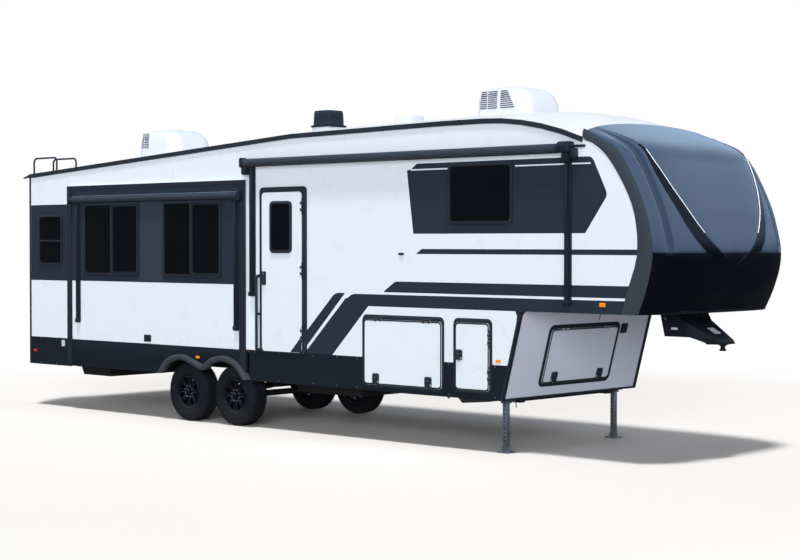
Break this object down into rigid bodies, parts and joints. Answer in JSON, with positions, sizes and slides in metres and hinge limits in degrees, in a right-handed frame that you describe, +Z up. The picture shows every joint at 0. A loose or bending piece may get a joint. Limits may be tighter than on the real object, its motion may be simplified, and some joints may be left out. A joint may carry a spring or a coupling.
{
  "type": "fifth wheel trailer",
  "caption": "White and dark grey fifth wheel travel trailer parked on its wheels and landing legs, with slide-out rooms, opening doors, awnings, roof units and a rounded nose cap.",
  "frame": {"origin": "on the ground under the middle of the trailer's bounding box", "axes": "+X forward to the nose cap, +Y to the left side, +Z up"},
  "size_m": [11.013, 2.6699, 4.065],
  "materials": {
    "white_wall": "smooth white laminated wall panel",
    "roof_membrane": "matte white roof membrane",
    "dark_skirt": "dark slate painted metal",
    "cap_gelcoat": "glossy dark slate blue moulded shell",
    "black_trim": "black moulded trim",
    "silver_wall": "light grey reflective front panel",
    "floor_board": "sheathed floor board",
    "chassis_paint": "black chassis paint",
    "zinc": "galvanised steel",
    "spring_steel": "dull dark steel",
    "tank_plastic": "black moulded tank",
    "unit_white": "white moulded shroud",
    "window_black": "black window frame",
    "window_glass": "dark tinted glass",
    "lamp_clear": "clear lens over white diodes",
    "lamp_amber": "amber lens",
    "awning_black": "black awning arms and rolled cover",
    "tyre_rubber": "black tyre",
    "rim_black": "black alloy rim"
  },
  "bodies": {
    "root": {"side_wall_right": "white_wall", "side_wall_left": "white_wall", "rear_wall": "white_wall", "front_wall": "silver_wall", "roof": "roof_membrane", "gutters": "black_trim", "nose_cap": "cap_gelcoat", "cap_trim": "black_trim", "living_floor": "floor_board", "upper_deck": "floor_board", "storage_floor": "dark_skirt", "skirt_right": "dark_skirt", "skirt_left": "dark_skirt", "chassis_frame": "chassis_paint", "pin_box": "chassis_paint", "landing_legs": "zinc", "axles": "chassis_paint", "leaf_springs": "spring_steel", "holding_tanks": "tank_plastic", "rear_bumper": "chassis_paint", "stabilisers": "zinc", "air_conditioners": "unit_white", "roof_vents": "black_trim", "ladder": "black_trim", "awning": "awning_black", "door_frames": "black_trim", "window_frames": "window_black", "window_panes": "window_glass", "marker_lamps": "lamp_amber", "corner_mouldings": "black_trim", "grab_handle": "black_trim", "nose_lamps": "lamp_clear"},
    "slide_right": {"slide_right_room": "white_wall", "slide_right_skirt": "dark_skirt", "slide_right_frames": "window_black", "slide_right_panes": "window_glass", "slide_right_awning": "awning_black"},
    "slide_left": {"slide_left_room": "white_wall", "slide_left_skirt": "dark_skirt", "slide_left_frames": "window_black", "slide_left_panes": "window_glass"},
    "bed_slide": {"bed_slide_room": "white_wall", "bed_slide_window": "window_black"},
    "entry_leaf": {"entry_door": "white_wall", "entry_pane": "window_black"},
    "storage_leaf_right": {"storage_door_right": "white_wall"},
    "locker_leaf_right": {"locker_door_right": "white_wall"},
    "storage_leaf_left": {"storage_door_left": "white_wall"},
    "storage_leaf_front": {"storage_door_front": "silver_wall"},
    "wheel_right_rear": {"tyre_right_rear": "tyre_rubber", "rim_right_rear": "rim_black"},
    "wheel_right_front": {"tyre_right_front": "tyre_rubber", "rim_right_front": "rim_black"},
    "wheel_left_rear": {"tyre_left_rear": "tyre_rubber", "rim_left_rear": "rim_black"},
    "wheel_left_front": {"tyre_left_front": "tyre_rubber", "rim_left_front": "rim_black"}
  },
  "joints": [
    {"name": "wheel_right_rear_spin", "type": "hinge", "parent": "root", "child": "wheel_right_rear", "pos_m": [-1.983, -1.065, 0.38], "axis": [0, 1, 0], "continuous": true},
    {"name": "wheel_right_front_spin", "type": "hinge", "parent": "root", "child": "wheel_right_front", "pos_m": [-1.083, -1.065, 0.38], "axis": [0, 1, 0], "continuous": true},
    {"name": "wheel_left_rear_spin", "type": "hinge", "parent": "root", "child": "wheel_left_rear", "pos_m": [-1.983, 1.065, 0.38], "axis": [0, 1, 0], "continuous": true},
    {"name": "wheel_left_front_spin", "type": "hinge", "parent": "root", "child": "wheel_left_front", "pos_m": [-1.083, 1.065, 0.38], "axis": [0, 1, 0], "continuous": true},
    {"name": "entry_door_swing", "type": "hinge", "parent": "root", "child": "entry_leaf", "pos_m": [0.206, -1.24, 1.9], "axis": [0, 0, 1], "range_deg": [0, 165]},
    {"name": "locker_door_right_swing", "type": "hinge", "parent": "root", "child": "locker_leaf_right", "pos_m": [3.133, -1.24, 1.045], "axis": [0, 0, 1], "range_deg": [0, 165]},
    {"name": "storage_door_right_lift", "type": "hinge", "parent": "root", "child": "storage_leaf_right", "pos_m": [1.83, -1.24, 1.424], "axis": [-1, 0, 0], "range_deg": [0, 165]},
    {"name": "storage_door_left_lift", "type": "hinge", "parent": "root", "child": "storage_leaf_left", "pos_m": [1.83, 1.24, 1.424], "axis": [1, 0, 0], "range_deg": [0, 90]},
    {"name": "storage_door_front_lift", "type": "hinge", "parent": "root", "child": "storage_leaf_front", "pos_m": [3.51111, 0, 1.3526], "axis": [0, -1, 0], "range_deg": [0, 100]},
    {"name": "slide_right_out", "type": "slide", "parent": "root", "child": "slide_right", "axis": [0, -1, 0], "range_m": [0, 0.7]},
    {"name": "slide_left_out", "type": "slide", "parent": "root", "child": "slide_left", "axis": [0, 1, 0], "range_m": [0, 0.7]},
    {"name": "bed_slide_out", "type": "slide", "parent": "root", "child": "bed_slide", "axis": [0, 1, 0], "range_m": [0, 0.46]}
  ]
}
